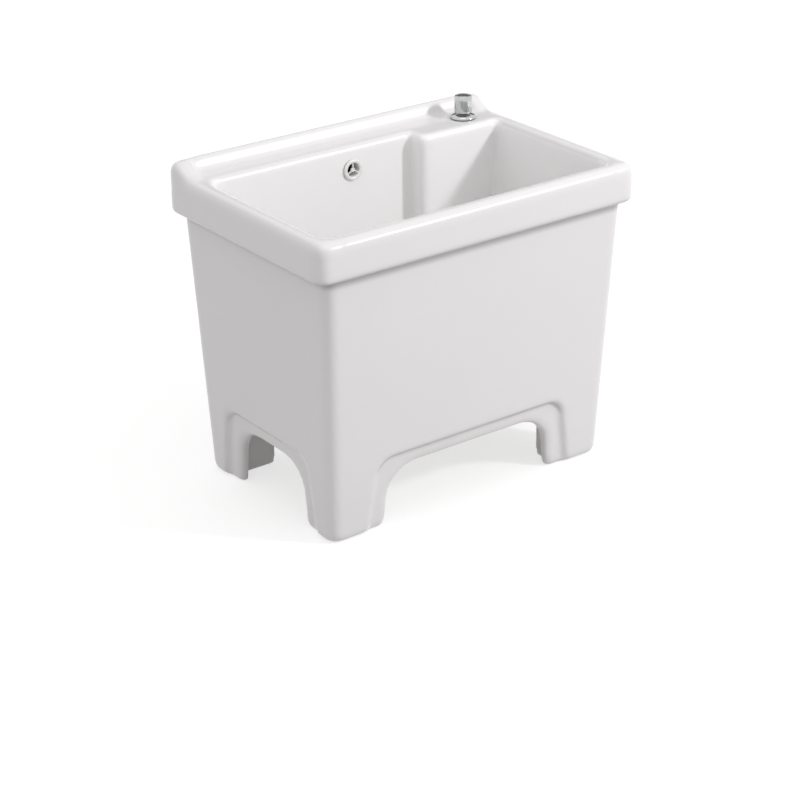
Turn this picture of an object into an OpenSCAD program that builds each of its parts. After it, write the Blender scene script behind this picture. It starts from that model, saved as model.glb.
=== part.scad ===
// Ceramic mop sink with a pop-up waste worked by a pull knob on its deck.
// Origin at the middle of its footprint on the floor, +X right along the front, +Y to the back.

/* [Overall] */
// Width over the rim
body_w = 460; // [420:5:500]
// Depth over the rim
body_d = 320; // [300:5:360]
// Height to the top of the raised back lip
body_h = 400; // [380:5:450]

/* [Rim and lip] */
// Height of the back lip above the rim
lip_rise = 15; // [8:1:20]
// Depth of the back lip at its top
lip_d = 12; // [10:1:18]
// Length of the slope in front of the back lip
lip_slope = 12; // [8:1:16]
// Length over which the lip falls to the rim at each end
lip_ramp = 41; // [30:1:44]
// Height of the rim band
rim_h = 48; // [47:1:48]
// Rounding of the rim's top edge
rim_round = 10; // [6:1:12]
// Rounding of the rim's lower edge
rim_under_round = 6; // [6:1:7]
// Corner radius of the rim, seen from above
rim_corner = 16; // [12:1:24]
// Width of the rim at the two sides
rim_side = 24; // [20:1:30]
// Width of the rim at the front
rim_front = 22; // [19:1:28]
// Rounding of the rim's inner edge
rim_inner_round = 7; // [4:1:8]

/* [Outer walls] */
// Rim overhang at the two sides
overhang_x = 14; // [10:1:18]
// Rim overhang at the front and the back
overhang_y = 8.5; // [6:0.5:12]
// How far the walls lean in to the floor, at the two sides
lean_x = 11; // [6:1:14]
// How far the walls lean in to the floor, at the front and the back
lean_y = 19; // [12:1:21]
// Thickness of the ceramic walls
wall = 12; // [10:1:13]
// Corner radius of the outer walls, seen from above
wall_corner = 14; // [10:1:18]
// Rounding under the legs
foot_round = 7; // [3:1:10]

/* [Basin] */
// Deck from the back of the rim to the basin's back wall
deck_d = 57; // [54:1:64]
// Thickness of the deck
deck_t = 12; // [10:1:16]
// Height of the basin floor above the ground
floor_h = 118; // [116:1:126]
// Thickness of the basin floor
floor_t = 13; // [11:1:15]
// How far the basin narrows down to its floor, at each side
basin_lean_x = 12; // [8:1:14]
// How far the basin narrows down to its floor, at the front
basin_lean_y = 12; // [10:1:14]
// Corner radius of the basin, seen from above
basin_corner = 22; // [16:1:30]
// Rounding where the basin's walls meet its floor
floor_cove = 26; // [16:1:32]
// Depth of the floor's dish round the waste
dish_depth = 3; // [2:0.5:4]
// Diameter of the floor's dish round the waste
dish_d = 170; // [130:5:180]

/* [Column] */
// Width of the column in the rear right corner
column_w = 118; // [114:1:138]
// Depth of the column in front of the back wall
column_d = 26; // [24:1:44]
// Radius of the column's free corner
column_corner = 11; // [7:1:16]

/* [Arches] */
// Width of the front and back arches at the ground
front_arch_w = 246; // [236:2:270]
// Width of the front and back arches at their top
front_arch_top_w = 234; // [220:2:254]
// Height of the front and back arches
front_arch_h = 72; // [64:1:80]
// Corner radius of the front and back arches
front_arch_r = 38; // [20:1:44]
// Width of the side arches at the ground
side_arch_w = 138; // [130:2:160]
// Width of the side arches at their top
side_arch_top_w = 128; // [120:2:146]
// Height of the side arches
side_arch_h = 77; // [70:1:84]
// Corner radius of the side arches
side_arch_r = 40; // [20:1:46]
// Width of the sunk band over each arch
band_w = 18; // [10:1:20]
// Extra width of the sunk band at the foot of each leg
band_foot_w = 8; // [0:1:12]
// Width of the slope at the edge of the sunk band
band_slope = 6; // [4:1:12]
// Depth of the sunk band round each arch
band_depth = 6; // [4:0.5:8]
// Corner radius of the sunk band
band_r = 22; // [12:1:30]
// Width of a leg, from the side of the sink to its inner face
leg_w = 94; // [88:1:102]
// Depth of a leg, from the front or the back to its inner face
leg_d = 70; // [65:1:80]

/* [Overflow] */
// Centre of the overflow below the rim
overflow_drop = 30; // [26:1:50]
// Hole for the overflow cover
overflow_hole_d = 22; // [20:0.5:24]
// Outer diameter of the overflow cover
overflow_ring_d = 27; // [25:0.5:32]
// How far the overflow cover stands out of the wall
overflow_ring_t = 3.4; // [2:0.2:5]
// Opening of the overflow cover
overflow_open_d = 17.5; // [14:0.5:18]
// Width of the grille's arms
overflow_arm_w = 1.6; // [1:0.1:2.4]
// Depth of the overflow cover's collar
overflow_collar = 10; // [6:1:12]
// Width of the cast overflow duct
duct_w = 30; // [24:1:34]
// Clear depth of the cast overflow duct
duct_d = 9; // [7:0.5:10]
// Ceramic round the duct
duct_wall = 9; // [7:1:10]

/* [Waste] */
// Waste axis to the right of the middle
drain_x = 50; // [40:1:60]
// Waste axis behind the middle
drain_y = 0; // [-8:1:8]
// Hole in the ceramic for the waste
drain_hole_d = 46; // [45:0.5:48]
// Outer diameter of the waste's thread
waste_od = 41.8; // [40:0.2:43]
// Clear bore of the waste
waste_bore = 36; // [34:0.5:37]
// Diameter of the waste flange
flange_d = 64; // [58:1:70]
// Thickness of the waste flange
flange_t = 3; // [2.5:0.5:4]
// Thickness of the gasket under the flange
flange_gasket_t = 1.5; // [1:0.5:2]
// Height of the ceramic boss under the waste
boss_h = 17; // [16:1:18]
// Diameter of the ceramic boss under the waste
boss_d = 84; // [78:1:92]
// Height of the lower gasket
lower_gasket_h = 4.5; // [3:0.5:5]
// Thickness of the friction washer
friction_t = 1.5; // [1:0.5:2]
// Height of the waste's locknut
locknut_h = 8; // [6:1:9]
// Height of the pivot above the ground
pivot_h = 47; // [45:1:49]
// Outer radius of the tee
tee_r = 21.5; // [21:0.5:23]
// Height of the socket on top of the tee
tee_socket_h = 8; // [6:1:9]
// Lower end of the tee below the pivot
tee_drop = 19; // [19:1:20]
// Height of the slip nut
slip_nut_h = 10; // [9:1:11]
// How far the tailpiece reaches into the tee
tail_lap = 10; // [6:1:11]
// Outer diameter of the tailpiece
tail_od = 32; // [31:0.5:32.5]
// Wall of the tailpiece
tail_wall = 1.5; // [1:0.5:2]
// Height of the outlet above the ground
outlet_h = 8; // [4:1:10]

/* [Stopper] */
// Diameter of the stopper cap
cap_d = 44; // [40:1:48]
// Thickness of the stopper cap at its rim
cap_t = 2.5; // [2:0.5:4]
// Crown of the stopper cap
cap_crown = 2; // [1:0.5:3]
// Stopper travel between open and shut
stopper_travel = 8; // [6:0.5:9]
// Clearance round the stopper's guide
stem_clear = 0.3; // [0.2:0.1:0.6]

/* [Control] */
// Knob axis in from the right side of the rim
knob_side = 54; // [50:1:60]
// Knob axis in from the back of the rim
knob_back = 52; // [50:1:56]
// Diameter of the knob
knob_d = 22.4; // [18:0.2:26]
// Height of the knob
knob_h = 20; // [16:1:26]
// Diameter of the knob's neck
knob_neck_d = 14; // [11:1:16]
// Height of the knob's neck
knob_neck_h = 3; // [2:0.5:5]
// Diameter of the control flange
rosette_d = 33; // [28:1:38]
// Height of the control flange
rosette_h = 5; // [4:0.5:7]
// Outer diameter of the threaded shank
shank_d = 18; // [16:1:20]
// Length of the shank below the deck's surface
shank_l = 36; // [30:1:44]
// Hole in the deck
deck_hole_d = 22; // [21:0.5:24]
// Diameter of the lift rod
rod_d = 5; // [4:0.5:6]
// Radial clearance of the lift rod in its bush
rod_fit = 0.05; // [0.02:0.01:0.1]

/* [Linkage] */
// Pivot ball centre from the waste axis
inner_arm = 31; // [30:0.5:33]
// Diameter of the pivot rod
pivot_rod_d = 4; // [3:0.5:4.5]
// Diameter of the pivot ball
ball_d = 12.4; // [11:0.2:13]
// Clearance round the pivot ball
ball_clear = 0.3; // [0.2:0.1:0.5]
// Width of the clevis strap
strap_w = 14; // [11:1:15]
// Thickness of the clevis strap
strap_t = 1.5; // [1:0.25:2]
// Number of holes in the clevis strap
strap_holes = 5; // [3:1:6]
// Pitch of the holes in the clevis strap
strap_pitch = 11; // [9:1:12]
// Clearance of the pivot rod in the strap
strap_clear = 0.5; // [0.4:0.1:0.8]

/* [Hidden] */

$fn = 64;
hull_fn = 32;
skin = 0.2;     // thickness of the stations that a hull joins
past = 1;       // how far a cut runs past a face
seat_gap = 0.1; // gap between pieces that are screwed or laid together

// Levels and half widths of the ceramic
rim_z = body_h - lip_rise;
under_z = rim_z - rim_h;
half_w = body_w / 2;
half_d = body_d / 2;
legs_gap_x = body_w - 2 * leg_w;
legs_gap_y = body_d - 2 * leg_d;
wall_x = half_w - overhang_x;
wall_y = half_d - overhang_y;
foot_x = wall_x - lean_x;
foot_y = wall_y - lean_y;
basin_x = half_w - rim_side;
basin_front = -half_d + rim_front;
basin_back = half_d - deck_d;
tilt_x = atan(lean_x / under_z);
tilt_y = atan(lean_y / under_z);
underside_z = floor_h - floor_t;
deck_under = rim_z - deck_t;
column_x = basin_x - column_w;
column_y = basin_back - column_d;
overflow_z = rim_z - overflow_drop;
knob_x = half_w - knob_side;
knob_y = half_d - knob_back;

// Overflow duct: down behind the back wall, then under the floor to the waste
duct_y = basin_back + duct_wall;
duct_top = overflow_z + overflow_hole_d / 2 + 2;
duct_run_y = duct_y + duct_d / 2;
duct_run = norm([drain_x, duct_run_y - drain_y]);
duct_angle = atan2(drain_y - duct_run_y, drain_x);
boss_z = underside_z - boss_h;
duct_floor = boss_z + 5;
duct_run_h = underside_z - 3 - duct_floor;

// Waste levels, from the flange seat down
flange_proud = 1;
seat_clear = 1;
drain_seat = floor_h - dish_depth - flange_gasket_t - flange_t + flange_proud;
flange_z = drain_seat + flange_gasket_t;
flange_top = flange_z + flange_t;
friction_z = boss_z - lower_gasket_h - friction_t;
locknut_z = friction_z - locknut_h;
tee_top = locknut_z - 1;
tee_socket_z = tee_top - tee_socket_h;
waste_bottom = tee_socket_z + 1;
tee_bottom = pivot_h - tee_drop;
slip_nut_z = tee_bottom + 4 - slip_nut_h;
thread_r = waste_od / 2;

// Linkage: the lever from the waste to the lift rod, seen from above
lever_angle = atan2(knob_y - drain_y, knob_x - drain_x);
lever = norm([knob_x - drain_x, knob_y - drain_y]);
strap_off = rod_d / 2 + strap_t / 2 + seat_gap;
outer_arm = lever - strap_off - inner_arm;
rock = atan(stopper_travel / 2 / inner_arm);
knob_travel = 2 * outer_arm * tan(rock);
tip_z = pivot_h + stopper_travel / 2;
strap_hole_z = pivot_h - knob_travel / 2;
strap_bottom = strap_hole_z - strap_w / 2 - 1;
strap_top = strap_hole_z + strap_holes * strap_pitch + 36;
lug_d = strap_off + rod_d / 2 + 5;
lug_low_z = strap_top - 22;
rod_bottom = lug_low_z - 8;
screw_z = strap_top - 11;
rod_end_past = 8;

pocket_w = 32;

// Control levels, from the deck up
deck_gasket_t = 1;
rosette_z = rim_z + deck_gasket_t;
knob_z = rosette_z + rosette_h + 0.5;
rod_top = knob_z + knob_neck_h + knob_h - 6;
bush_r = shank_d / 2 - 3;
deck_nut_h = 7;
deck_washer_t = 3;

// Inset and drop of the stations that round an edge of radius r
function round_steps(r, n) = [for (i = [0:n]) [r * (1 - sin(90 * i / n)), r * (1 - cos(90 * i / n))]];

// Corners of a rounded rectangle from y0 to y1, half as wide as x, standing at height z
module slab(x, y0, y1, r, z, inset = 0, h = skin) {
    c = max(r - inset, 2);
    for (sx = [-1, 1], y = [y0 + inset + c, y1 - inset - c])
        translate([sx * (x - inset - c), y, z])
            cylinder(r = c, h = h, $fn = hull_fn);
}

// Flat ring with its lower face at z = 0
module ring(outer_r, inner_r, h) {
    difference() {
        cylinder(r = outer_r, h = h);
        translate([0, 0, -past]) cylinder(r = inner_r, h = h + 2 * past);
    }
}

// Hexagonal nut, wrench size across flats
module hex_nut(flats, inner_r, h) {
    difference() {
        cylinder(r = flats / sqrt(3), h = h, $fn = 6);
        translate([0, 0, -past]) cylinder(r = inner_r, h = h + 2 * past);
    }
}

// Stands a shape on an outer wall: angle 0 is the front, local z runs out of the wall
module on_wall(angle, foot, tilt) {
    rotate([0, 0, angle]) translate([0, -foot, 0]) rotate([90 + tilt, 0, 0]) children();
}

// Outline of an arch that stands on the ground, with rounded upper corners
module arch_outline(w, top_w, h, r) {
    lean = (w - top_w) / 2 / h;
    below = 3 * r;
    offset(r = r, $fn = hull_fn) offset(delta = -r)
        polygon([
            [-w / 2 - lean * below, -below],
            [w / 2 + lean * below, -below],
            [top_w / 2, h],
            [-top_w / 2, h]]);
}

// Arch through a wall, with the sunk band round it
module arch_cut(w, top_w, h, r) {
    outer_w = w + 2 * (band_w + band_foot_w);
    outer_top_w = top_w + 2 * band_w;
    outer_h = h + band_w;
    through = wall + band_depth + max(lean_x, lean_y);
    translate([0, 0, -through])
        linear_extrude(through + past)
            arch_outline(w, top_w, h, r);
    // the slope goes on as far again in front of the wall
    translate([0, 0, -band_depth])
        linear_extrude(2 * band_depth, slices = 1,
            scale = [1 + 4 * band_slope / outer_w, 1 + 2 * band_slope / outer_h])
            arch_outline(outer_w, outer_top_w, outer_h, band_r);
}

module for_waste() {
    translate([drain_x, drain_y, 0]) children();
}

module for_knob() {
    translate([knob_x, knob_y, 0]) children();
}

// Along the lever: local x runs from the waste axis to the lift rod, at the pivot's height
module along_lever() {
    translate([drain_x, drain_y, pivot_h]) rotate([0, 0, lever_angle]) children();
}

// Local z along the lever at rest, with the ball's centre at the origin
module at_ball() {
    along_lever() translate([inner_arm, 0, 0]) rotate([0, 90 + rock, 0]) children();
}

// Outer form of the ceramic, from the rim down to the feet
module outer_walls() {
    hull() {
        slab(wall_x, -wall_y, wall_y, wall_corner, under_z, h = rim_h / 2);
        for (s = round_steps(foot_round, 3))
            slab(foot_x, -foot_y, foot_y, wall_corner, s[1], s[0]);
    }
}

module rim_band() {
    hull() {
        for (s = round_steps(rim_round, 4))
            slab(half_w, -half_d, half_d, rim_corner, rim_z - s[1] - skin, s[0]);
        for (s = round_steps(rim_under_round, 3))
            slab(half_w, -half_d, half_d, rim_corner, under_z + s[1], s[0]);
    }
}

// Lip profile from the side: y runs back, the slope is a smooth S of the given length
module lip_profile(foot, length) {
    steps = 8;
    polygon(concat(
        [[foot, under_z + rim_h / 2]],
        [for (i = [0:steps]) let (t = i / steps)
            [foot + length * t, rim_z - skin + (lip_rise + skin) * (1 - cos(180 * t)) / 2]],
        [[half_d, body_h], [half_d, under_z + rim_h / 2]]));
}

// Raised back lip, which falls to the rim over a ramp at both ends
module back_lip() {
    top_y = half_d - lip_d;
    intersection() {
        hull()
            for (s = round_steps(rim_round, 4)) {
                slab(half_w, half_d - 2 * rim_corner, half_d, rim_corner, body_h - s[1] - skin, s[0]);
                slab(half_w, top_y - lip_ramp, half_d, rim_corner, rim_z - s[1] - skin, s[0]);
            }
        union() {
            along_x(-half_w, half_w) lip_profile(top_y - lip_slope, lip_slope);
            for (side = [-1, 1])
                along_x(side > 0 ? basin_x : -half_w, side > 0 ? half_w : -basin_x)
                    lip_profile(top_y - lip_ramp, lip_ramp);
        }
    }
}

// Extrudes an outline of y and z from x0 to x1
module along_x(x0, x1) {
    translate([x0, 0, 0]) rotate([90, 0, 90]) linear_extrude(x1 - x0) children();
}

// Last stretch below the rim, where an outline of size reach flares out or draws in round an edge
module edge_bend(reach, side) {
    steps = 4;
    r = rim_inner_round;
    for (i = [0:steps - 1]) {
        low = 90 * i / steps;
        high = 90 * (i + 1) / steps;
        from = [for (a = reach) a + side * r * (1 - cos(low))];
        to = [for (a = reach) a + side * r * (1 - cos(high))];
        lift = side > 0 && i == steps - 1 ? skin : 0;
        translate([0, 0, rim_z - r + r * sin(low)])
            linear_extrude(r * (sin(high) - sin(low)) + lift, slices = 1,
                scale = [to[0] / from[0], to[1] / from[1]])
                scale([from[0] / reach[0], from[1] / reach[1]]) children();
    }
}

// Hollow of the basin, with the column left standing in its rear right corner
module basin_hollow() {
    mid_y = (basin_front + basin_back) / 2;
    reach_y = (basin_back - basin_front) / 2;
    difference() {
        union() {
            hull() {
                slab(basin_x, basin_front, basin_back, basin_corner, rim_z + past);
                slab(basin_x, basin_front, basin_back, basin_corner, rim_z - rim_inner_round);
                for (s = round_steps(floor_cove, 4))
                    slab(basin_x - basin_lean_x, basin_front + basin_lean_y, basin_back,
                        basin_corner, floor_h + s[1], s[0]);
            }
            translate([0, mid_y, 0])
                edge_bend([basin_x, reach_y], 1)
                    offset(r = basin_corner, $fn = hull_fn) offset(delta = -basin_corner)
                        square([2 * basin_x, 2 * reach_y], center = true);
        }
        column();
    }
}

// Column block: it runs into the walls behind it
module column() {
    size = [column_w + rim_side, column_d + deck_d];
    translate([column_x + size[0], column_y + size[1], 0]) {
        translate([0, 0, underside_z])
            linear_extrude(rim_z - rim_inner_round - underside_z) column_outline(size);
        edge_bend(size, -1) column_outline(size);
    }
}

module column_outline(size) {
    offset(r = column_corner, $fn = hull_fn) offset(delta = -column_corner)
        translate(-size) square(size + [column_corner, column_corner]);
}

// Space inside the outer walls, under the deck
module inside_walls() {
    hull() {
        slab(foot_x - wall, -foot_y + wall, foot_y - wall, wall, -past);
        slab(wall_x - wall, -wall_y + wall, wall_y - wall, wall, under_z, h = deck_under - under_z);
    }
}

// Hollows of the casting: under the floor, behind the back wall and in the column
module casting_hollows() {
    rib = duct_w / 2 + duct_wall;
    apron_x = foot_x - band_depth - wall;
    apron_y = foot_y - band_depth - wall;
    vent_h = 8;
    leg_x = column_x + wall;
    leg_y = column_y + wall;
    difference() {
        intersection() {
            inside_walls();
            union() {
                // under the floor, between the legs
                box([-legs_gap_x / 2, -apron_y, -past], [legs_gap_x / 2, apron_y, underside_z]);
                box([-apron_x, -legs_gap_y / 2, -past], [apron_x, legs_gap_y / 2, underside_z]);
                // behind the back wall, open to the space under the floor
                box([-basin_x + wall, basin_back + wall, underside_z - vent_h], [-rib, half_d, deck_under]);
                box([rib, basin_back + wall, underside_z - vent_h], [half_w, half_d, deck_under]);
                box([-legs_gap_x / 2, 0, underside_z - vent_h],
                    [legs_gap_x / 2, basin_back + wall + vent_h, underside_z]);
                // column, and the leg under it with a pocket for the lift rod's linkage
                box([leg_x, leg_y, underside_z - past], [half_w, half_d, deck_under]);
                box([leg_x, leg_y, -past], [apron_x, apron_y, underside_z]);
                box([knob_x - pocket_w / 2, leg_y, -past], [apron_x, half_d, underside_z]);
            }
        }
        duct_block(duct_w + 2 * duct_wall, boss_z + past, underside_z - boss_z, duct_wall);
        for_waste() translate([0, 0, boss_z]) cylinder(d = boss_d, h = boss_h + past);
    }
}

// Box between two corners
module box(low, high) {
    translate(low) cube(high - low);
}

// Straight run under the floor from the rear duct to the waste
module duct_block(w, z, h, behind) {
    translate([0, duct_run_y, z])
        rotate([0, 0, duct_angle])
            translate([-behind, -w / 2, 0])
                cube([duct_run + behind, w, h]);
}

module arches() {
    for (angle = [0, 180])
        on_wall(angle, foot_y, tilt_y)
            arch_cut(front_arch_w, front_arch_top_w, front_arch_h, front_arch_r);
    for (angle = [90, 270])
        on_wall(angle, foot_x, tilt_x)
            arch_cut(side_arch_w, side_arch_top_w, side_arch_h, side_arch_r);
}

// Glazed ceramic body in one casting
module basin() {
    color("white")
    difference() {
        union() {
            outer_walls();
            rim_band();
            back_lip();
        }
        basin_hollow();
        casting_hollows();
        arches();
        // deck hole
        for_knob() translate([0, 0, deck_under - past]) cylinder(d = deck_hole_d, h = deck_t + 2 * past);
        // waste hole and its seat
        for_waste() {
            translate([0, 0, boss_z - past])
                cylinder(d = drain_hole_d, h = floor_h - boss_z + 2 * past);
            translate([0, 0, drain_seat]) cylinder(r = flange_d / 2 + seat_clear, h = floor_cove);
            translate([0, 0, floor_h - dish_depth])
                cylinder(r1 = flange_d / 2 + seat_clear, r2 = dish_d / 2, h = dish_depth + skin);
        }
        // overflow hole and duct
        translate([0, basin_back - past, overflow_z])
            rotate([-90, 0, 0])
                cylinder(d = overflow_hole_d, h = duct_wall + duct_d / 2 + past);
        translate([-duct_w / 2, duct_y, duct_floor])
            cube([duct_w, duct_d, duct_top - duct_floor]);
        duct_block(duct_w, duct_floor, duct_run_h, 0);
    }
}

// Overflow cover: bevelled ring, grille of three arms round a small hub, collar in the hole
module overflow_cover() {
    r = overflow_ring_d / 2;
    open_r = overflow_open_d / 2;
    collar_r = overflow_hole_d / 2 - 0.2;
    seal = 1.2;
    color("whitesmoke")
    translate([0, basin_back, overflow_z])
        rotate([90, 0, 0])
            difference() {
                union() {
                    translate([0, 0, seal])
                        rotate_extrude()
                            polygon([[open_r, 0], [r, 0], [r, 0.8], [r - 2, overflow_ring_t - seal],
                                [open_r + 0.8, overflow_ring_t - seal], [open_r, overflow_ring_t - seal - 0.6]]);
                    translate([0, 0, -overflow_collar])
                        ring(collar_r, open_r, overflow_collar + seal + skin);
                    cylinder(d = 3 * overflow_arm_w, h = seal + 0.6);
                    for (a = [90, 210, 330])
                        rotate([0, 0, a])
                            translate([0, -overflow_arm_w / 2, 0])
                                cube([open_r + 0.5, overflow_arm_w, seal + 0.6]);
                }
                // slits that let the collar spring into the hole
                for (a = [30, 150, 270])
                    rotate([0, 0, a])
                        translate([open_r - past, -0.6, -overflow_collar - past])
                            cube([4, 1.2, overflow_collar - 2]);
            }
}

module overflow_seal() {
    color("gainsboro")
    translate([0, basin_back, overflow_z])
        rotate([90, 0, 0])
            ring(overflow_ring_d / 2 - 0.5, overflow_hole_d / 2 + 0.1, 1.2);
}

// Chrome flange and threaded shank of the control, in one piece
module control_flange() {
    r = rosette_d / 2;
    color("silver")
    for_knob()
        difference() {
            translate([0, 0, rosette_z])
                rotate_extrude()
                    polygon(concat(
                        [[0, -shank_l - deck_gasket_t], [shank_d / 2, -shank_l - deck_gasket_t],
                            [shank_d / 2, 0], [r, 0], [r, 1.2]],
                        [for (i = [1:6]) let (t = 15 * i)
                            [knob_neck_d / 2 + (r - knob_neck_d / 2) * cos(t), 1.2 + (rosette_h - 1.2) * sin(t)]],
                        [[0, rosette_h]]));
            translate([0, 0, rosette_z - shank_l - deck_gasket_t - past])
                cylinder(r = bush_r, h = shank_l + rosette_h + 2 * past + deck_gasket_t);
        }
}

module flange_gasket() {
    color("dimgray")
    for_knob() translate([0, 0, rim_z]) ring(rosette_d / 2 - 1, shank_d / 2 + seat_gap, deck_gasket_t);
}

module deck_washer() {
    color("dimgray")
    for_knob()
        translate([0, 0, deck_under - deck_washer_t])
            ring(deck_hole_d / 2 + 3, shank_d / 2 + seat_gap, deck_washer_t);
}

module deck_locknut() {
    color("goldenrod")
    for_knob()
        translate([0, 0, deck_under - deck_washer_t - deck_nut_h])
            hex_nut(shank_d + 7, shank_d / 2 + seat_gap, deck_nut_h);
}

// Plastic bush in which the lift rod slides
module guide_bush() {
    lower = rim_z - shank_l;
    color("white")
    for_knob()
        difference() {
            union() {
                translate([0, 0, lower - 2]) cylinder(r = bush_r + 2, h = 2 - seat_gap);
                translate([0, 0, lower - 2])
                    cylinder(r = bush_r - 0.05, h = rosette_z + rosette_h - lower + 2);
            }
            translate([0, 0, lower - 2 - past])
                cylinder(r = rod_d / 2 + rod_fit, h = shank_l + rosette_h + 6);
        }
}

// Chrome pull knob with a blind bore for the rod
module knob() {
    r = knob_d / 2;
    top = knob_neck_h + knob_h;
    bevel = 1.4;
    color("silver")
    for_knob()
        difference() {
            translate([0, 0, knob_z])
                rotate_extrude()
                    polygon([[0, 0], [knob_neck_d / 2, 0], [knob_neck_d / 2, knob_neck_h - 0.6],
                        [knob_neck_d / 2 + 0.6, knob_neck_h], [r - 0.5, knob_neck_h], [r, knob_neck_h + 0.5],
                        [r, top - bevel], [r - bevel, top - 0.2], [r - bevel - 1, top], [0, top]]);
            translate([0, 0, knob_z - past]) cylinder(r = rod_d / 2 + 0.02, h = rod_top - knob_z + past);
            translate([0, 0, knob_z + knob_neck_h + 5])
                rotate([-90, 0, 0]) cylinder(d = 4, h = knob_d);
        }
}

// Grub screw in the back of the knob, with a hexagon socket
module knob_grub_screw() {
    length = knob_d / 2 - rod_d / 2 - 1;
    color("dimgray")
    for_knob()
        translate([0, rod_d / 2 + 0.05, knob_z + knob_neck_h + 5])
            rotate([-90, 0, 0])
                difference() {
                    cylinder(d = 3.9, h = length);
                    translate([0, 0, length - 2]) cylinder(r = 1.15, h = 2 + past, $fn = 6);
                }
}

module lift_rod() {
    color("silver")
    for_knob() translate([0, 0, rod_bottom]) cylinder(d = rod_d, h = rod_top - rod_bottom - 0.5);
}

// Places the strap's mid plane: local x points away from the waste, local z is up
module at_strap() {
    for_knob() rotate([0, 0, lever_angle]) translate([-strap_off, 0, 0]) children();
}

// Flat strap with a row of holes and two lugs that the lift rod passes through
module clevis_strap() {
    color("gainsboro")
    at_strap()
        difference() {
            union() {
                translate([-strap_t / 2, -strap_w / 2, strap_bottom])
                    cube([strap_t, strap_w, strap_top - strap_bottom]);
                for (z = [lug_low_z, strap_top - strap_t])
                    translate([-strap_t / 2, -strap_w / 2, z]) cube([lug_d, strap_w, strap_t]);
            }
            for (i = [0:strap_holes - 1])
                translate([-strap_t, 0, strap_hole_z + i * strap_pitch])
                    rotate([0, 90, 0]) cylinder(r = pivot_rod_d / 2 + strap_clear, h = 2 * strap_t);
            translate([-strap_t, 0, screw_z]) rotate([0, 90, 0]) cylinder(d = 5, h = 2 * strap_t);
            translate([strap_off, 0, lug_low_z - past])
                cylinder(r = rod_d / 2 + seat_gap, h = strap_top - lug_low_z + 2 * past);
        }
}

// Thumbscrew that clamps the lift rod against the strap's lugs
module clevis_thumbscrew() {
    color("goldenrod")
    at_strap()
        translate([strap_off - rod_d / 2 - 0.05, 0, screw_z])
            rotate([0, -90, 0]) {
                cylinder(d = 4.8, h = 8);
                translate([0, 0, 4]) cylinder(d = 8, h = 2);
                translate([-4.5, -1, 6]) cube([9, 2, 9]);
            }
}

// Spring clip bent round the strap's end, with a leg on each side that the pivot rod passes
module spring_clip() {
    leg = 5;
    t = 0.8;
    w = strap_w - 4;
    bottom = strap_bottom - t - 0.3;
    hole_r = pivot_rod_d / 2 + strap_clear + (leg + t) * tan(rock);
    color("silver")
    at_strap()
        difference() {
            translate([-leg, -w / 2, bottom]) cube([2 * leg, w, strap_hole_z + hole_r + 3 - bottom]);
            translate([-leg + t, -w, bottom + t]) cube([2 * (leg - t), 2 * w, body_h]);
            translate([-2 * leg, 0, strap_hole_z]) rotate([0, 90, 0]) cylinder(r = hole_r, h = 4 * leg);
        }
}

module pivot_rod() {
    inner = (inner_arm + 3) / cos(rock);
    outer = (outer_arm + rod_end_past) / cos(rock);
    color("silver")
    at_ball() translate([0, 0, -inner]) cylinder(d = pivot_rod_d, h = inner + outer);
}

module pivot_ball() {
    color("whitesmoke")
    at_ball()
        difference() {
            sphere(d = ball_d);
            translate([0, 0, -ball_d]) cylinder(r = pivot_rod_d / 2 + 0.02, h = 2 * ball_d);
        }
}

// Port of the tee, along the lever
port_r = ball_d / 2 + ball_clear;
boss_r = port_r + 4;
ball_edge = sqrt(pow(ball_d / 2, 2) - pow(ball_d / 2 - 1.7, 2));
port_end = inner_arm + ball_edge;
seat_end = inner_arm - ball_edge - 0.3;
pass_r = pivot_rod_d / 2 + inner_arm / 2 * tan(rock) + 0.6;

module ball_seat() {
    color("white")
    along_lever()
        translate([seat_end - 3, 0, 0]) rotate([0, 90, 0]) ring(port_r - 0.05, ball_d / 2 - 1.7, 3);
}

module ball_nut() {
    color("whitesmoke")
    along_lever()
        rotate([0, 90, 0])
            difference() {
                translate([0, 0, tee_r + 2]) cylinder(r = boss_r + 4, h = port_end + 3.3 - tee_r - 2, $fn = 6);
                translate([0, 0, tee_r + 1]) cylinder(r = boss_r + seat_gap, h = port_end + 0.3 - tee_r - 1);
                cylinder(r = ball_d / 2 - 1.7, h = lever);
            }
}

// Lower waste body with the side port for the pivot ball
module drain_tee() {
    bore_r = waste_bore / 2;
    color("whitesmoke")
    difference() {
        union() {
            for_waste() {
                translate([0, 0, tee_socket_z - 4]) cylinder(r1 = tee_r, r2 = thread_r + 4, h = 4);
                translate([0, 0, tee_socket_z]) cylinder(r = thread_r + 4, h = tee_socket_h);
                translate([0, 0, tee_bottom]) cylinder(r = tee_r, h = tee_socket_z - tee_bottom);
            }
            along_lever() rotate([0, 90, 0]) cylinder(r = boss_r, h = port_end);
        }
        for_waste() {
            translate([0, 0, tee_bottom - past]) cylinder(r = bore_r, h = tee_top);
            translate([0, 0, waste_bottom - seat_gap]) cylinder(r = thread_r + seat_gap, h = tee_top);
        }
        along_lever() rotate([0, 90, 0]) {
            cylinder(r = pass_r, h = lever);
            translate([0, 0, seat_end - 3 - seat_gap]) cylinder(r = port_r, h = lever);
        }
    }
}

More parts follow.
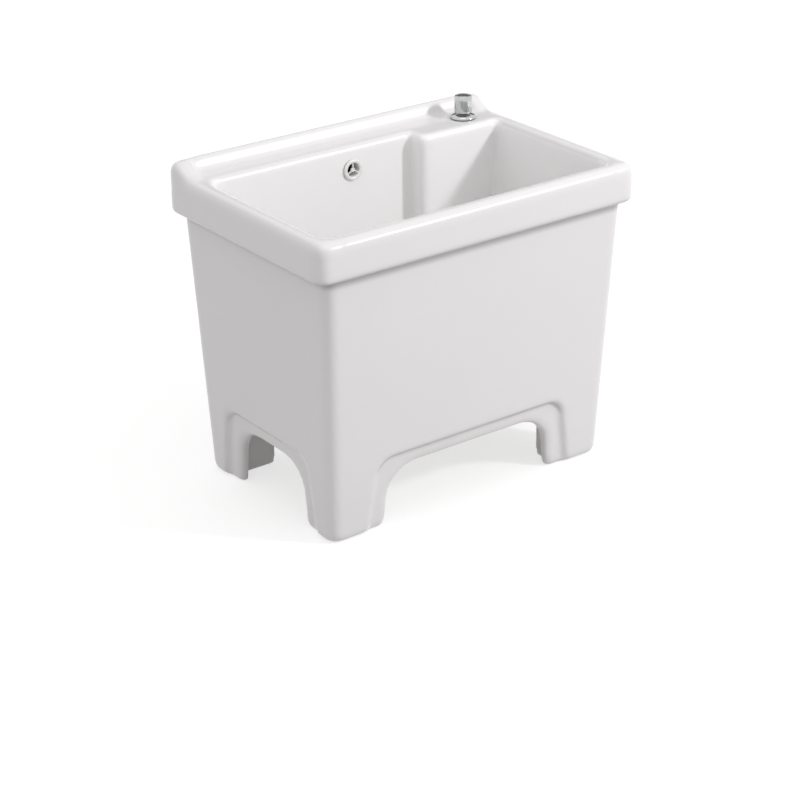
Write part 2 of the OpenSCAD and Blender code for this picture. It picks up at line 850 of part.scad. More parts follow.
// Waste flange with its threaded tail, and slots where the overflow duct meets it
module drain_flange() {
    bore_r = waste_bore / 2;
    slot_h = duct_run_h;
    color("silver")
    for_waste()
        difference() {
            rotate_extrude()
                polygon([[bore_r, waste_bottom], [thread_r, waste_bottom], [thread_r, flange_z],
                    [flange_d / 2, flange_z], [flange_d / 2, flange_z + 1], [flange_d / 2 - 2, flange_top],
                    [bore_r + 2.5, flange_top], [bore_r, flange_top - 3]]);
            for (a = [0, 90, 180, 270])
                rotate([0, 0, duct_angle + a])
                    translate([bore_r - 2, -6, duct_floor]) cube([8, 12, slot_h]);
        }
}

module drain_gasket() {
    color("dimgray")
    for_waste()
        translate([0, 0, drain_seat]) ring(flange_d / 2 - 1, drain_hole_d / 2, flange_gasket_t);
}

module drain_lower_gasket() {
    color("dimgray")
    for_waste()
        translate([0, 0, boss_z - lower_gasket_h])
            rotate_extrude()
                polygon([[thread_r + seat_gap, 0], [drain_hole_d / 2 + 5, 0],
                    [drain_hole_d / 2 + 5, lower_gasket_h], [thread_r + seat_gap, lower_gasket_h]]);
}

module friction_washer() {
    color("whitesmoke")
    for_waste()
        translate([0, 0, friction_z]) ring(drain_hole_d / 2 + 5, thread_r + seat_gap, friction_t);
}

module drain_locknut() {
    color("goldenrod")
    for_waste() translate([0, 0, locknut_z]) hex_nut(waste_od + 12, thread_r + seat_gap, locknut_h);
}

// Stopper, drawn at rest in its open place
stop_z = flange_top + 0.3 + stopper_travel;
seal_t = 2.5;

module stopper_cap() {
    r = cap_d / 2;
    color("silver")
    for_waste()
        translate([0, 0, stop_z])
            difference() {
                rotate_extrude()
                    polygon(concat([[0, 0], [r - 0.5, 0], [r, 0.5], [r, cap_t - 0.8]],
                        [for (i = [0:6]) let (t = 15 * i)
                            [(r - 0.8) * cos(t), cap_t + cap_crown * sin(t)]]));
                translate([0, 0, -past]) cylinder(d = 6, h = cap_t);
            }
}

module stopper_seal() {
    color("dimgray")
    for_waste()
        translate([0, 0, stop_z - seal_t]) ring(waste_bore / 2 - stem_clear, 5 + seat_gap, seal_t);
}

// Stem with four guide fins and an eye for the pivot rod's tip
module stopper_stem() {
    fin_r = waste_bore / 2 - stem_clear;
    fin_top = stop_z - 5;
    fin_bottom = fin_top - 26;
    eye_r = pivot_rod_d / 2 + 0.4;
    color("whitesmoke")
    for_waste()
        rotate([0, 0, lever_angle])
            difference() {
                union() {
                    translate([0, 0, fin_top]) cylinder(r = 5, h = 5);
                    translate([0, 0, fin_top + 5]) cylinder(d = 5.9, h = cap_t - past - 0.2);
                    translate([0, 0, stop_z - seal_t - seat_gap - 2]) cylinder(r = fin_r - 4, h = 2);
                    for (a = [0, 90])
                        rotate([0, 0, a])
                            translate([-fin_r, -1, fin_bottom]) cube([2 * fin_r, 2, fin_top - fin_bottom]);
                    translate([-1.5, -5, tip_z - 5.5]) cube([3, 10, fin_bottom - tip_z + 6.5]);
                }
                translate([-past - 2, 0, tip_z])
                    rotate([0, 90, 0]) cylinder(r = eye_r, h = 4 + 2 * past);
            }
}

// Outlet tube, with a rolled bead as a stop for the pipe that goes over it
module tailpiece() {
    r = tail_od / 2;
    bead = 1.2;
    bead_z = slip_nut_z - 2;
    color("silver")
    for_waste()
        rotate_extrude()
            polygon([[r - tail_wall, outlet_h], [r, outlet_h], [r, bead_z - bead], [r + bead, bead_z],
                [r, bead_z + bead], [r, tee_bottom + tail_lap], [r - tail_wall, tee_bottom + tail_lap]]);
}

module tailpiece_seal() {
    color("dimgray")
    for_waste()
        translate([0, 0, tee_bottom - 3 + seat_gap])
            ring(tee_r - seat_gap, tail_od / 2 + seat_gap / 2, 3 - 2 * seat_gap);
}

// Nut that presses the seal on the tailpiece against the tee
module slip_nut() {
    color("whitesmoke")
    for_waste()
        difference() {
            translate([0, 0, slip_nut_z]) cylinder(r = tee_r + 3.5, h = slip_nut_h, $fn = 8);
            translate([0, 0, tee_bottom - 3]) cylinder(r = tee_r + seat_gap, h = body_h);
            translate([0, 0, slip_nut_z - past]) cylinder(r = tail_od / 2 + seat_gap, h = body_h);
        }
}

basin();
overflow_cover();
overflow_seal();
control_flange();
flange_gasket();
deck_washer();
deck_locknut();
guide_bush();
knob();
knob_grub_screw();
lift_rod();
clevis_strap();
clevis_thumbscrew();
spring_clip();
pivot_rod();
pivot_ball();
ball_seat();
ball_nut();
stopper_cap();
stopper_seal();
stopper_stem();
drain_flange();
drain_gasket();
drain_lower_gasket();
friction_washer();
drain_locknut();
drain_tee();
tailpiece();
tailpiece_seal();
slip_nut();
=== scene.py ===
import bmesh
import bpy
import math
from mathutils import Matrix, Vector


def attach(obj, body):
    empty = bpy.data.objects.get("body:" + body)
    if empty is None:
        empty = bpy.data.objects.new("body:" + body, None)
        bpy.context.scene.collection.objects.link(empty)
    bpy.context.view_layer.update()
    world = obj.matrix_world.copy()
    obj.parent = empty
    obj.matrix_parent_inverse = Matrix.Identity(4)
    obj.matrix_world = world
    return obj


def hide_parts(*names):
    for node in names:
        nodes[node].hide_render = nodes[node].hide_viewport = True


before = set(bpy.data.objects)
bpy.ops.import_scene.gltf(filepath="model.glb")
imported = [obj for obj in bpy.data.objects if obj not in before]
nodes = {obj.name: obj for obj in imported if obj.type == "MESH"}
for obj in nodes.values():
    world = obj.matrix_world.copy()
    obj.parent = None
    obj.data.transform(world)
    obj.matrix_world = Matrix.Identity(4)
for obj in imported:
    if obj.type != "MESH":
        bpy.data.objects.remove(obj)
scene = bpy.context.scene
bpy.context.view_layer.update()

# Camera: it looks down at the front left corner of the sink from about 2.7 m away,
# through a long lens, as a catalogue picture is taken.
camera_azimuth = math.radians(-36.381)
camera_height = math.radians(24.978)
camera_roll = math.radians(-0.672)
camera_distance = 2.6843
camera_aim = Vector((0, 0, 0.08155))
lens_length = 97.2
film_width = 36
image_width = 800
image_shift = -5
back = Vector((
    math.sin(camera_azimuth) * math.cos(camera_height),
    -math.cos(camera_azimuth) * math.cos(camera_height),
    math.sin(camera_height),
))
level_right = (-back).cross(Vector((0, 0, 1))).normalized()
level_up = level_right.cross(-back)
right = level_right * math.cos(camera_roll) + level_up * math.sin(camera_roll)
up = level_up * math.cos(camera_roll) - level_right * math.sin(camera_roll)
camera_data = bpy.data.cameras.new("camera")
camera_data.sensor_width = film_width
camera_data.lens = lens_length
camera_data.shift_x = image_shift / image_width
camera = bpy.data.objects.new("camera", camera_data)
camera.matrix_world = Matrix.Translation(camera_aim + back * camera_distance) @ Matrix(
    (right, up, back)
).transposed().to_4x4()
scene.collection.objects.link(camera)
scene.camera = camera
scene.view_settings.view_transform = "Standard"

# Studio light: a soft lamp high on the front right, a wide weak one above, and a pale room.
# The camera, gloss and glass see the room as white.
white = (1, 1, 1)
room_colour = (1.0, 0.992, 0.985)
room_strength = 0.69


def feed(tree, socket, value):
    """Links another socket to a socket, or sets it to a number, a vector or a colour."""
    if isinstance(value, bpy.types.NodeSocket):
        tree.links.new(value, socket)
    elif socket.type == "RGBA":
        socket.default_value = (*value, 1)
    else:
        socket.default_value = value


def reckoned(tree, operation, *terms):
    """A sum in a shader tree. Each term is a socket or a number."""
    node = tree.nodes.new("ShaderNodeMath")
    node.operation = operation
    for socket, term in zip(node.inputs, terms):
        feed(tree, socket, term)
    return node.outputs[0]


def seen_by(tree, first, *others):
    """A socket that is 1 for the kinds of rays named, and 0 for the rest."""
    rays = tree.nodes.new("ShaderNodeLightPath")
    seen = rays.outputs[first]
    for kind in others:
        seen = reckoned(tree, "MAXIMUM", seen, rays.outputs[kind])
    return seen


def soft_lamp(name, place, aim, size, watts):
    """A square lamp of a size in metres, turned to the point that it lights."""
    data = bpy.data.lights.new(name, "AREA")
    data.size = size
    data.energy = watts
    lamp = bpy.data.objects.new(name, data)
    lamp.location = place
    lamp.rotation_mode = "QUATERNION"
    lamp.rotation_quaternion = (Vector(aim) - Vector(place)).to_track_quat("-Z", "Y")
    scene.collection.objects.link(lamp)


world = bpy.data.worlds.new("pale_room")
world.use_nodes = True
scene.world = world
room_tree = world.node_tree
room_tree.nodes.clear()
room = room_tree.nodes.new("ShaderNodeMixShader")
feed(room_tree, room.inputs[0], seen_by(
    room_tree, "Is Camera Ray", "Is Glossy Ray", "Is Transmission Ray"
))
for socket, colour, strength in (
    (room.inputs[1], room_colour, room_strength),
    (room.inputs[2], white, 1),
):
    light = room_tree.nodes.new("ShaderNodeBackground")
    feed(room_tree, light.inputs["Color"], colour)
    feed(room_tree, light.inputs["Strength"], strength)
    feed(room_tree, socket, light.outputs[0])
world_output = room_tree.nodes.new("ShaderNodeOutputWorld")
feed(room_tree, world_output.inputs["Surface"], room.outputs[0])
soft_lamp("key_lamp", place=(1.40, -1.85, 1.70), aim=(0, 0, 0.25), size=0.32, watts=30)
soft_lamp("top_lamp", place=(-0.25, -0.35, 2.4), aim=(0, 0, 0.3), size=1.3, watts=4)

# Floor: a pale board that carries on past the picture, white where the light falls on it,
# and keeps the sink's soft shadow.
floor_half_side = 12
floor_grey = (0.45, 0.45, 0.45)
floor_roughness = 0.9
floor_lift = 0.665


def linked(name, mesh):
    """An object for a mesh, at the origin."""
    made = bpy.data.objects.new(name, mesh)
    scene.collection.objects.link(made)
    return made


def board(name, half_side, place):
    """A flat square board of the set, in its place and apart from the sink."""
    shape = bmesh.new()
    bmesh.ops.create_grid(shape, x_segments=1, y_segments=1, size=half_side, matrix=place)
    mesh = bpy.data.meshes.new(name)
    shape.to_mesh(mesh)
    shape.free()
    made = linked(name, mesh)
    return made


def new_material(name, values):
    """A material, its tree and its surface, with values for the sockets that they name."""
    made = bpy.data.materials.new(name)
    made.use_nodes = True
    surface = made.node_tree.nodes["Principled BSDF"]
    for socket, value in values.items():
        feed(made.node_tree, surface.inputs[socket], value)
    return made, made.node_tree, surface


floor_paint, floor_tree, floor_surface = new_material("pale_floor", {
    "Base Color": floor_grey, "Roughness": floor_roughness, "Emission Color": white,
})
feed(floor_tree, floor_surface.inputs["Emission Strength"], reckoned(
    floor_tree, "MULTIPLY", seen_by(floor_tree, "Is Camera Ray", "Is Glossy Ray"), floor_lift
))
floor = board("floor", floor_half_side, Matrix())
floor.data.materials.append(floor_paint)

# Dark card: a board that stands behind the set, out of the picture, and is seen only in gloss,
# where it gives the chrome its dark streaks.
card_half_side = 0.5
card_place = (1.00, 1.30, 0.95)
card_turn = math.radians(-37)
card_tilt = math.radians(65)
card_stretch = (1.3, 0.55, 1, 1)
card_grey = (0.22, 0.22, 0.23)
card = board("dark_card", card_half_side, (
    Matrix.Translation(card_place) @ Matrix.Rotation(card_turn, 4, "Z")
    @ Matrix.Rotation(card_tilt, 4, "X") @ Matrix.Diagonal(card_stretch)
))
card.data.materials.append(new_material("dark_card", {"Base Color": card_grey, "Roughness": 1})[0])
card.visible_camera = False
card.visible_diffuse = False
card.visible_shadow = False
card.visible_transmission = False

# Basin: one slip-cast and fired piece of white vitreous china. The glaze rounds every edge
# as it melts, so the cast shape is gone over with a fine skin and worn soft, most at the legs.
cast_pitch = 0.0024
cast_triangles = 190000
cast_merge_gap = 0.00001
knob_axis = Vector((0.176, 0.108, 0))
overflow_centre = Vector((0, 0.103, 0.355))
waste_axis = Vector((0.050, 0, 0))

# How many rounds of smoothing each region of the casting gets, and where the regions lie.
# An arch is given by its half width, its height and the radius of its corners.
general_rounding = 4
arch_rounding = 26
foot_rounding = 14
rim_end_rounding = 18
seat_rounding = 2
smoothing_step = 0.5
seat_reach = 0.020
waste_reach = 0.070
deck_from = 0.30
floor_to = 0.118
rim_from = 0.362
rim_end_from = 0.195
legs_to = 0.120
feet_to = 0.010
front_wall_from = 0.090
side_wall_from = 0.160
front_arch = (0.120, 0.072, 0.038)
side_arch = (0.067, 0.077, 0.040)
arch_reach = 0.008
arch_fade = 0.007


def flattened(piece):
    """A new mesh of a piece with its modifiers worked in."""
    bpy.context.view_layer.update()
    shown = piece.evaluated_get(bpy.context.evaluated_depsgraph_get())
    return bpy.data.meshes.new_from_object(shown).copy()


def outside_arch(across, height, half, top, radius):
    """How far a point of a wall is from the outline of the arch that is cut in it."""
    side = abs(across) - half + radius
    rise = height - top + radius
    return math.hypot(max(side, 0), max(rise, 0)) + min(max(side, rise), 0) - radius


def rounding_at(place):
    """How many rounds of smoothing the glaze gives a point of the casting."""
    if place.z > deck_from and (place.xy - knob_axis.xy).length < seat_reach:
        return seat_rounding
    if (place - overflow_centre).length < seat_reach:
        return seat_rounding
    if place.z < floor_to and (place.xy - waste_axis.xy).length < waste_reach:
        return seat_rounding
    if place.z > rim_from and abs(place.x) > rim_end_from:
        return rim_end_rounding
    if place.z > legs_to:
        return general_rounding
    near = 1.0
    if abs(place.y) > front_wall_from:
        near = min(near, outside_arch(place.x, place.z, *front_arch))
    if abs(place.x) > side_wall_from:
        near = min(near, outside_arch(place.y, place.z, *side_arch))
    hold = min(max((near - arch_reach) / arch_fade, 0), 1)
    rounds = arch_rounding + (general_rounding - arch_rounding) * hold
    if place.z < feet_to:
        rounds = max(rounds, foot_rounding)
    return round(rounds)


cast = bmesh.new()
cast.from_mesh(nodes["basin"].data)
bmesh.ops.remove_doubles(cast, verts=cast.verts, dist=cast_merge_gap)
cast_mesh = bpy.data.meshes.new("cast")
cast.to_mesh(cast_mesh)
cast.free()
casting = linked("casting", cast_mesh)
skin = casting.modifiers.new("skin", "REMESH")
skin.mode = "VOXEL"
skin.voxel_size = cast_pitch
skinned = flattened(casting)
glazed = bmesh.new()
glazed.from_mesh(skinned)
rounding = [rounding_at(v.co) for v in glazed.verts]
for step in range(max(rounding)):
    worn = [v for v, rounds in zip(glazed.verts, rounding) if rounds > step]
    bmesh.ops.smooth_vert(
        glazed, verts=worn, factor=smoothing_step, use_axis_x=True, use_axis_y=True, use_axis_z=True
    )
glazed.to_mesh(skinned)
glazed.free()
casting.modifiers.clear()
casting.data = skinned
skin_triangles = 2 * len(skinned.polygons)
thinned = casting.modifiers.new("thinned", "DECIMATE")
thinned.ratio = cast_triangles / skin_triangles
basin_mesh = flattened(casting)
basin_mesh.name = "glazed_basin"
bpy.data.objects.remove(casting)
for face in basin_mesh.polygons:
    face.use_smooth = True

# Where the slip was never glazed, where the duct's inside is painted dark as shade, and where the
# inside of the basin is painted lighter, standing for the light that falls into it.
# The basin's walls lean in by the taper from its mouth to its floor.
under_floor_box = ((-0.185, -0.118, 0.078), (0.185, 0.118, 0.107))
column_box = ((0.094, 0.084, 0.078), (0.166, 0.127, 0.376))
duct_box = ((-0.0165, 0.1085, 0.110), (0.0165, 0.123, 0.360))
basin_half_width = 0.2075
basin_front = -0.1395
basin_behind = 0.1045
basin_mouth = 0.385
basin_depth = 0.267
basin_taper = 0.012
painted_light_from = 0.112
painted_light_to = 0.384


def within(place, box):
    """Whether a point is in the box between two corners."""
    return all(low < value < high for low, value, high in zip(box[0], place, box[1]))


def in_basin(place):
    """Whether a point is on the inside of the basin, which narrows towards its floor."""
    narrowing = basin_taper * (basin_mouth - place.z) / basin_depth
    return (
        abs(place.x) < basin_half_width - narrowing
        and narrowing + basin_front < place.y < basin_behind
        and painted_light_from < place.z < painted_light_to
    )


mask_names = ("raw_clay", "painted_light_mask", "in_duct")
for name in mask_names:
    basin_mesh.attributes.new(name, "FLOAT", "POINT")
raw_clay, painted_light_mask, in_duct = (basin_mesh.attributes[name].data for name in mask_names)
for v in basin_mesh.vertices:
    in_column = within(v.co, column_box)
    inside_duct = within(v.co, duct_box)
    unglazed = within(v.co, under_floor_box) or in_column or inside_duct
    raw_clay[v.index].value = float(unglazed)
    # The inside of the basin is marked for painted light.
    painted_light_mask[v.index].value = float(in_basin(v.co) and not in_column)
    # The duct is marked for painted shade.
    in_duct[v.index].value = float(inside_duct)

# The glaze's colours and finish. A painted shade line darkens the corner under the
# rim, all round the outside, and a fainter one runs along the top of each sunk band.
glaze_dark = (0.811, 0.798, 0.801)
glaze_light = (0.841, 0.828, 0.831)
# Painted light: the inside of the basin is coloured lighter than the outside, standing for the light
# it gathers.
inside_painted_light = (0.930, 0.919, 0.922)
clay_dark = (0.60, 0.565, 0.51)
clay_light = (0.72, 0.69, 0.64)
# Painted shade: the inside of the overflow duct is coloured nearly black.
painted_duct_shade = (0.055, 0.050, 0.045)
# Painted shade: the colour of the dark line under the rim and along the sunk bands.
painted_shade_dark = (0.04, 0.036, 0.034)
glazed_roughness = 0.30
clay_roughness = 0.85
glazed_coat = 0.55
# Where the painted shade line under the rim lies, and how dark it is at the sides and the front.
painted_shade_comes = (0.3245, 0.3345)
painted_shade_goes = (0.336, 0.344)
painted_shade_corner = (0.137, 0.149)
painted_shade_on_side = 0.26
painted_shade_on_front = 0.46
side_under_rim = 0.2105
front_under_rim = 0.1455
band_comes = (-0.001, 0.003)
band_goes = (0.0035, 0.0075)
band_corner_share = 0.8
front_band_from = 0.127
side_band_from = 0.199
foot_waver = 0.0012
foot_least = 0.0002
ripple_strength = 0.25
ripple_depth = 0.0004

# The colour sockets of a mix node share their names with its others, so each has a number here.
mix_share = 0
mix_first = 6
mix_second = 7
mix_result = 2


def ranged(tree, value, low, high, to_low, to_high, curve="SMOOTHSTEP"):
    """A value carried over from one range to another, and held at its ends."""
    step = tree.nodes.new("ShaderNodeMapRange")
    step.interpolation_type = curve
    feed(tree, step.inputs["Value"], value)
    feed(tree, step.inputs["From Min"], low)
    feed(tree, step.inputs["From Max"], high)
    feed(tree, step.inputs["To Min"], to_low)
    feed(tree, step.inputs["To Max"], to_high)
    return step.outputs[0]


def grain(tree, where, scale, detail):
    """A cloudy pattern in a shader tree, on the coordinates given."""
    noise = tree.nodes.new("ShaderNodeTexNoise")
    feed(tree, noise.inputs["Vector"], where)
    feed(tree, noise.inputs["Scale"], scale)
    feed(tree, noise.inputs["Detail"], detail)
    return noise.outputs["Fac"]


def blended(tree, share, first, second):
    """A share of the second colour over the first. Each is a socket or a colour."""
    mix = tree.nodes.new("ShaderNodeMix")
    mix.data_type = "RGBA"
    feed(tree, mix.inputs[mix_share], share)
    feed(tree, mix.inputs[mix_first], first)
    feed(tree, mix.inputs[mix_second], second)
    return mix.outputs[mix_result]


def raised(tree, pattern, strength, depth):
    """A normal for a relief of the depth given in metres."""
    relief = tree.nodes.new("ShaderNodeBump")
    feed(tree, relief.inputs["Strength"], strength)
    feed(tree, relief.inputs["Distance"], depth)
    feed(tree, relief.inputs["Height"], pattern)
    return relief.outputs[0]


glaze, glaze_tree, glaze_surface = new_material("white_glaze", {
    "Specular IOR Level": 0.5, "Coat Roughness": 0.13, "Coat IOR": 1.5,
})


def worked(operation, *terms):
    """A sum in the glaze's tree."""
    return reckoned(glaze_tree, operation, *terms)


def mask(name):
    """A mask that the basin's mesh carries."""
    carried = glaze_tree.nodes.new("ShaderNodeAttribute")
    carried.attribute_name = name
    return carried.outputs["Fac"]


def streak(value, comes, goes):
    """A line that comes up over the first span of a value and goes over the second."""
    return worked(
        "MULTIPLY",
        ranged(glaze_tree, value, *comes, 0, 1),
        ranged(glaze_tree, value, *goes, 1, 0),
    )


def band_shade_line(sideways, half_foot, half_top, top, radius, strength):
    """The painted shade line along the top of the sunk band round an arch, on the outline given."""
    narrowing = worked("MULTIPLY", height, (half_foot - half_top) / top)
    side = worked("ADD", worked("ADD", sideways, narrowing), radius - half_foot)
    rise = worked("SUBTRACT", height, top - radius)
    side = worked("MAXIMUM", side, 0.0)
    rise = worked("MAXIMUM", rise, 0.0)
    square = worked("ADD", worked("POWER", side, 2.0), worked("POWER", rise, 2.0))
    beyond = worked("SUBTRACT", worked("SQRT", square), radius)
    above_foot = ranged(glaze_tree, rise, 0.0, radius * band_corner_share, 0, strength)
    return worked("MULTIPLY", streak(beyond, band_comes, band_goes), above_foot)


where = glaze_tree.nodes.new("ShaderNodeTexCoord").outputs["Object"]
split = glaze_tree.nodes.new("ShaderNodeSeparateXYZ")
feed(glaze_tree, split.inputs[0], where)
height = split.outputs["Z"]
across = worked("ABSOLUTE", split.outputs["X"])
along = worked("ABSOLUTE", split.outputs["Y"])
on_side = worked("GREATER_THAN", across, side_under_rim)
on_front = worked("GREATER_THAN", along, front_under_rim)
# Painted shade: a dark line in the corner under the rim and along the top of each sunk band.
under_rim = worked(
    "MULTIPLY", streak(height, painted_shade_comes, painted_shade_goes), worked("MAXIMUM", on_side, on_front)
)
rim_shade_line = worked(
    "MULTIPLY", under_rim, ranged(glaze_tree, along, *painted_shade_corner, painted_shade_on_side, painted_shade_on_front)
)
front_band = worked(
    "MULTIPLY",
    band_shade_line(across, half_foot=0.149, half_top=0.135, top=0.090, radius=0.022, strength=0.34),
    worked("GREATER_THAN", along, front_band_from),
)
side_band = worked(
    "MULTIPLY",
    band_shade_line(along, half_foot=0.095, half_top=0.082, top=0.095, radius=0.022, strength=0.20),
    worked("GREATER_THAN", across, side_band_from),
)
painted_shade_share = worked("MAXIMUM", rim_shade_line, worked("MAXIMUM", front_band, side_band))
drift = grain(glaze_tree, where, scale=7, detail=3)
foot_line = worked("MULTIPLY_ADD", drift, foot_waver, foot_least)
bare = worked("MAXIMUM", worked("LESS_THAN", height, foot_line), mask("raw_clay"))
glaze_colour = blended(glaze_tree, drift, glaze_dark, glaze_light)
# Painted light: the inside of the basin is made lighter.
painted_light_colour = blended(glaze_tree, mask("painted_light_mask"), glaze_colour, inside_painted_light)
clay_grain = grain(glaze_tree, where, scale=420, detail=4)
clay_colour = blended(glaze_tree, clay_grain, clay_dark, clay_light)
# Painted shade: the duct's inside is made nearly black.
duct_colour = blended(glaze_tree, mask("in_duct"), clay_colour, painted_duct_shade)
fired_colour = blended(glaze_tree, bare, painted_light_colour, duct_colour)
ripple = grain(glaze_tree, where, scale=38, detail=2)
for socket, value in (
    # The painted shade lines darken the base colour.
    ("Base Color", blended(glaze_tree, painted_shade_share, fired_colour, painted_shade_dark)),
    ("Roughness", ranged(glaze_tree, bare, 0, 1, glazed_roughness, clay_roughness, "LINEAR")),
    ("Coat Weight", ranged(glaze_tree, bare, 0, 1, glazed_coat, 0, "LINEAR")),
    ("Normal", raised(glaze_tree, ripple, ripple_strength, ripple_depth)),
):
    feed(glaze_tree, glaze_surface.inputs[socket], value)


def dressed(piece, node, material, body="sink"):
    """Puts a material on a piece that stands for a node, and lets it move with its body."""
    piece.data.materials.clear()
    piece.data.materials.append(material)
    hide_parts(node)
    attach(piece, body)


dressed(linked("glazed_basin", basin_mesh), "basin", glaze)

# Knob and control flange: brass turned on a lathe, polished and chrome plated. A grub screw
# holds the knob on the lift rod, and a nut under the deck holds the flange by its long shank.
flange_height = 0.386
knob_height = 0.3915
turning_steps = 96
turned_merge_gap = 0.000001
dome_inner = 7
dome_spread = 9.5
dome_foot = 1.2
dome_rise = 3.8
knob_edge = 0.0002
flange_edge = 0.00015
sharp_angle = 30
marks_detail = 5
marks_low = 0.3
marks_high = 0.7
relief_strength = 0.4
mm_in_metre = 1000


def spun(work, outline, hollow=True):
    """Spins an outline of (radius, height) points in millimetres into a round shape."""
    corners = [
        work.verts.new((radius / mm_in_metre, 0, rise / mm_in_metre)) for radius, rise in outline
    ]
    ends = corners[1:] + corners[:1] if hollow else corners[1:]
    line = [work.edges.new(pair) for pair in zip(corners, ends)]
    bmesh.ops.spin(
        work, geom=corners + line, cent=(0, 0, 0), axis=(0, 0, 1), angle=math.tau,
        steps=turning_steps, use_merge=True,
    )


def finished(work, name):
    """Turns a bmesh into a smooth object at the origin."""
    for face in work.faces:
        face.smooth = True
    mesh = bpy.data.meshes.new(name)
    work.to_mesh(mesh)
    work.free()
    return linked(name, mesh)


def turned(name, outline, at, hollow=True):
    """A turned piece, set with the outline's origin at a place. A solid one meets its axis."""
    work = bmesh.new()
    spun(work, outline, hollow)
    bmesh.ops.remove_doubles(work, verts=work.verts, dist=turned_merge_gap)
    bmesh.ops.recalc_face_normals(work, faces=work.faces)
    bmesh.ops.translate(work, verts=work.verts, vec=at)
    return finished(work, name)


def softened(piece, width, angle=sharp_angle):
    """Breaks the sharp edges of a piece with a small bevel, as polishing or moulding does."""
    edge = piece.modifiers.new("broken_edges", "BEVEL")
    edge.width = width
    edge.segments = 2
    edge.limit_method = "ANGLE"
    edge.angle_limit = math.radians(angle)
    edge.harden_normals = True
    return piece


wear = bpy.data.node_groups.new("handling_marks", "ShaderNodeTree")
for name, kind, value in (
    ("Scale", "NodeSocketFloat", 60),
    ("Low", "NodeSocketFloat", 0.05),
    ("High", "NodeSocketFloat", 0.15),
    ("Stretch", "NodeSocketVector", (1, 1, 1)),
):
    wear.interface.new_socket(name, in_out="INPUT", socket_type=kind).default_value = value
for name in ("Roughness", "Grain"):
    wear.interface.new_socket(name, in_out="OUTPUT", socket_type="NodeSocketFloat")
group_in = wear.nodes.new("NodeGroupInput")
group_out = wear.nodes.new("NodeGroupOutput")
stretched = wear.nodes.new("ShaderNodeVectorMath")
stretched.operation = "MULTIPLY"
feed(wear, stretched.inputs[0], wear.nodes.new("ShaderNodeTexCoord").outputs["Object"])
feed(wear, stretched.inputs[1], group_in.outputs["Stretch"])
marks = grain(wear, stretched.outputs[0], group_in.outputs["Scale"], marks_detail)
feed(wear, group_out.inputs["Roughness"], ranged(
    wear, marks, marks_low, marks_high, group_in.outputs["Low"], group_in.outputs["High"], "LINEAR"
))
feed(wear, group_out.inputs["Grain"], marks)


def finish_of(name, light, dark, marks_scale, low, high, metal=0.0, stretch=(1, 1, 1), relief=0.0):
    """A material with a drifting colour, handling marks in its roughness and a fine relief."""
    made, tree, surface = new_material(name, {"Metallic": metal})
    used = tree.nodes.new("ShaderNodeGroup")
    used.node_tree = wear
    for socket, value in (
        ("Scale", marks_scale), ("Low", low), ("High", high), ("Stretch", stretch),
    ):
        feed(tree, used.inputs[socket], value)
    drifting = used.outputs["Grain"]
    feed(tree, surface.inputs["Base Color"], blended(tree, drifting, dark, light))
    feed(tree, surface.inputs["Roughness"], used.outputs["Roughness"])
    if relief:
        feed(tree, surface.inputs["Normal"], raised(tree, drifting, relief_strength, relief))
    return made


chrome = finish_of(
    "chrome_plate", light=(0.60, 0.61, 0.62), dark=(0.52, 0.53, 0.54), marks_scale=55,
    low=0.03, high=0.10, metal=1.0,
)
knob = turned("pull_knob", [
    (0, 0), (6.7, 0), (7, 0.3), (7, 0.9), (7.3, 1.3), (10.4, 1.5), (11.0, 1.75), (11.2, 2.3),
    (11.2, 21.4), (10.9, 22.3), (10.2, 22.8), (9.2, 22.95), (8.4, 22.55), (7.8, 22.45), (0, 22.6),
], knob_axis + Vector((0, 0, knob_height)), hollow=False)
dressed(softened(knob, knob_edge), "knob", chrome, "lift")
dome = [
    (
        dome_inner + dome_spread * math.cos(math.radians(turn)),
        dome_foot + dome_rise * math.sin(math.radians(turn)),
    )
    for turn in range(0, 85, 12)
]
control_flange = turned("control_flange_plated", [
    (6, -37), (8.6, -37), (9, -36.6), (9, 0), (16.2, 0), (16.5, 0.3), *dome, (7, 5), (6, 5),
], knob_axis + Vector((0, 0, flange_height)))
dressed(softened(control_flange, flange_edge), "control_flange", chrome)

# Overflow cover: a white moulded ring with a three-armed grille and a collar that springs
# into the hole in the back wall. Its arms are plain flat bars that meet at a small hub.
arm_length = 0.0090
arm_width = 0.0016
arm_thickness = 0.0018
arm_middle = 0.0046
arm_edge = 0.0003
arm_turns = (90, 210, 330)
hub_sides = 32
hub_back_radius = 0.0029
hub_front_radius = 0.0026
hub_thickness = 0.0020
cover_edge = 0.0002
gloss_plastic = finish_of(
    "white_moulding", light=(0.86, 0.86, 0.85), dark=(0.80, 0.80, 0.795), marks_scale=160,
    low=0.18, high=0.30, relief=0.00001,
)
grille = bmesh.new()
spun(grille, [
    (8.75, -10), (10.8, -10), (10.8, 1.2), (13.2, 1.2), (13.5, 1.5), (13.4, 2.1), (12.6, 2.9),
    (11.6, 3.35), (10.4, 3.35), (9.5, 3.0), (8.9, 2.4), (8.75, 1.8),
])
for turn in arm_turns:
    arm = bmesh.ops.create_cube(grille, size=1, matrix=(
        Matrix.Rotation(math.radians(turn), 4, "Z")
        @ Matrix.Translation((arm_middle, 0, arm_thickness / 2))
        @ Matrix.Diagonal((arm_length, arm_width, arm_thickness, 1))
    ))
    edges = list({e for v in arm["verts"] for e in v.link_edges})
    bmesh.ops.bevel(
        grille, geom=edges, offset=arm_edge, segments=2, profile=0.5, affect="EDGES", material=-1
    )
bmesh.ops.create_cone(
    grille, cap_ends=True, segments=hub_sides, radius1=hub_back_radius, radius2=hub_front_radius,
    depth=hub_thickness, matrix=Matrix.Translation((0, 0, arm_thickness / 2)),
)
bmesh.ops.recalc_face_normals(grille, faces=grille.faces)
